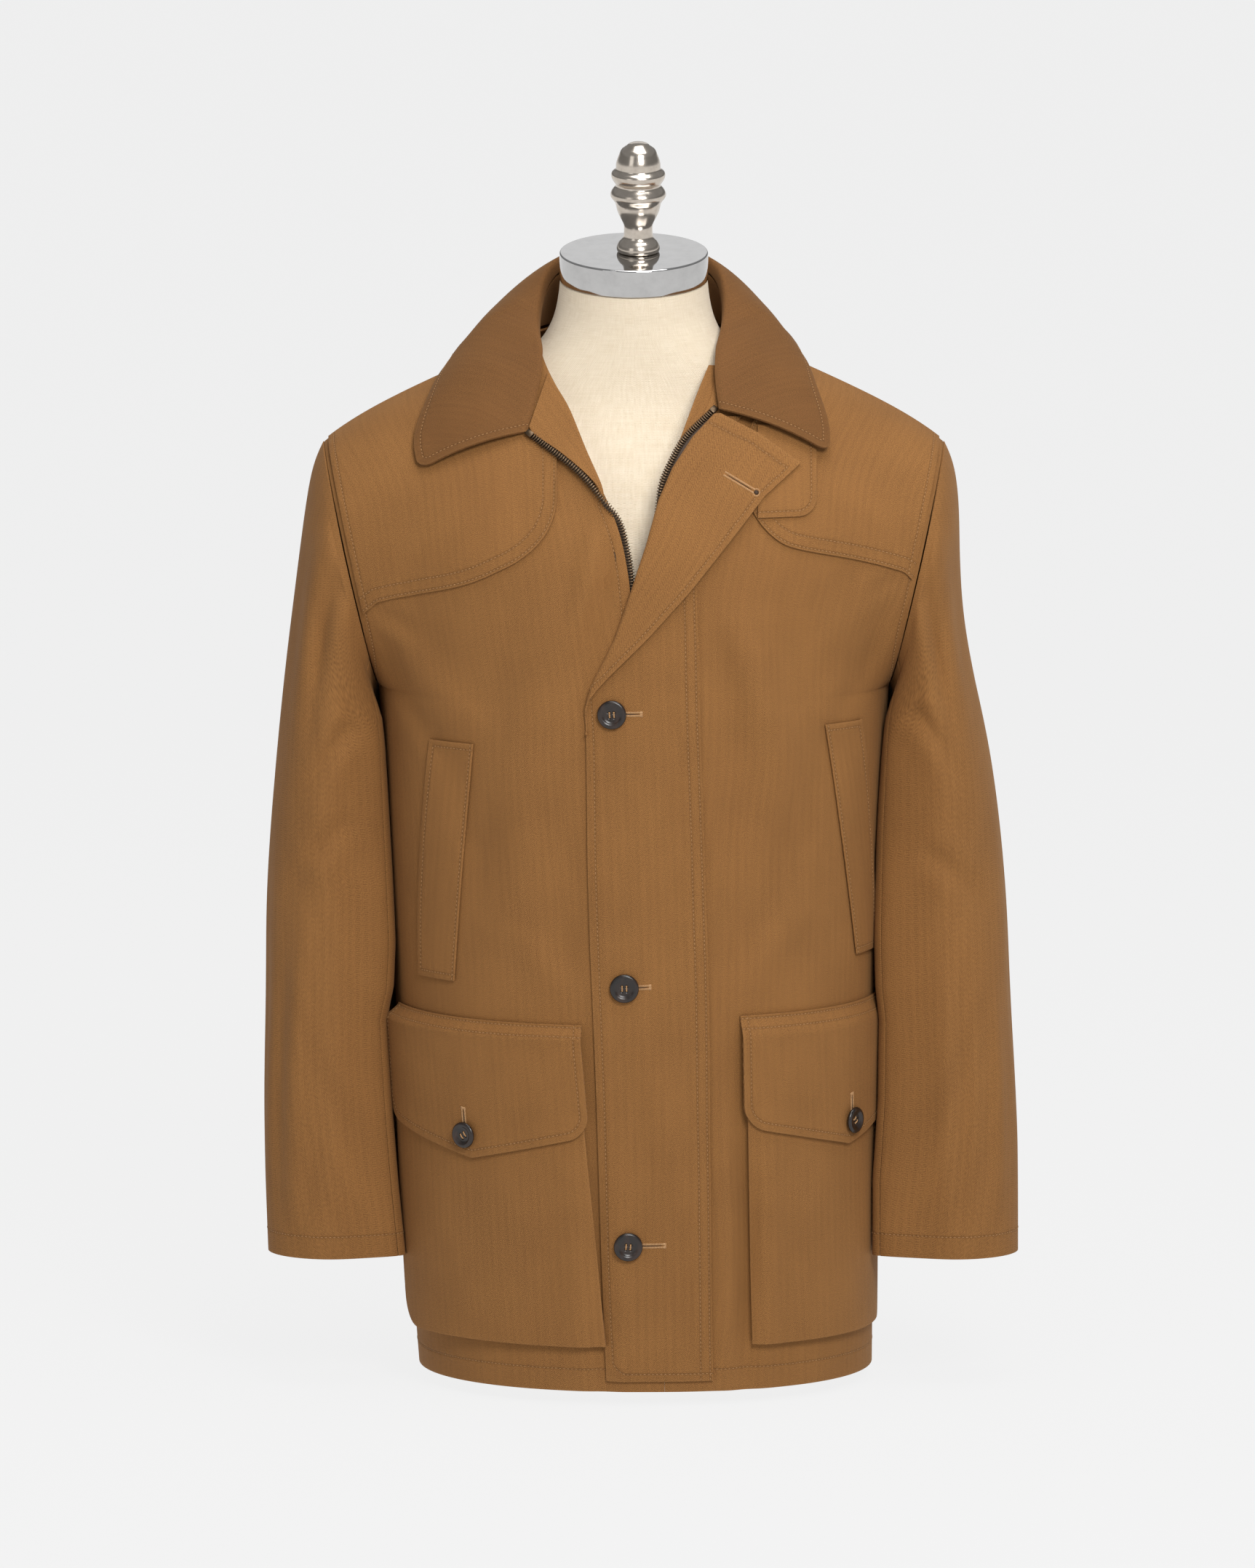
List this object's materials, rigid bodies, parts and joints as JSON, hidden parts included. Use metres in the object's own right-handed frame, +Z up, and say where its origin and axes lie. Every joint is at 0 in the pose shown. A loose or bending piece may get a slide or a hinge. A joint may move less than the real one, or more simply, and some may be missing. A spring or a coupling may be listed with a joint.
{
  "type": "field coat on a dress form",
  "caption": "Hip-length field coat with round collar, turned-back storm fly, shoulder patches and flapped bellows pockets, on a limbless dress form with neck cap and finial.",
  "frame": {"origin": "point of the dress form's flat base below its neck, on the floor", "axes": "+Z up; the coat faces -Y, so +X is the wearer's left"},
  "size_m": [0.6014, 0.3305, 0.9915],
  "materials": {
    "cotton": "tan-brown herringbone cotton, matt",
    "collar_cotton": "tan-brown herringbone cotton, matt",
    "zip_brass": "antique dark brass",
    "horn": "dark horn, satin",
    "linen": "cream linen",
    "bright_metal": "polished"
  },
  "bodies": {
    "root": {"back": "cotton", "front_left": "cotton", "front_right": "cotton", "sleeve_left_upper": "cotton", "sleeve_left_under": "cotton", "sleeve_right_upper": "cotton", "sleeve_right_under": "cotton", "shoulder_patch_left": "cotton", "shoulder_patch_right": "cotton", "storm_fly": "cotton", "throat_tab": "cotton", "facing_left": "cotton", "facing_right": "cotton", "welt_left": "cotton", "welt_right": "cotton", "pocket_left": "cotton", "pocket_right": "cotton", "gusset_left": "cotton", "gusset_right": "cotton", "flap_left": "cotton", "flap_right": "cotton", "collar_fall": "collar_cotton", "collar_stand": "collar_cotton", "zip_left": "zip_brass", "zip_right": "zip_brass", "front_button_1": "horn", "front_button_2": "horn", "front_button_3": "horn", "flap_button_left": "horn", "flap_button_right": "horn", "form_torso": "linen", "form_neck_cap": "bright_metal", "form_finial": "bright_metal"}
  },
  "joints": []
}
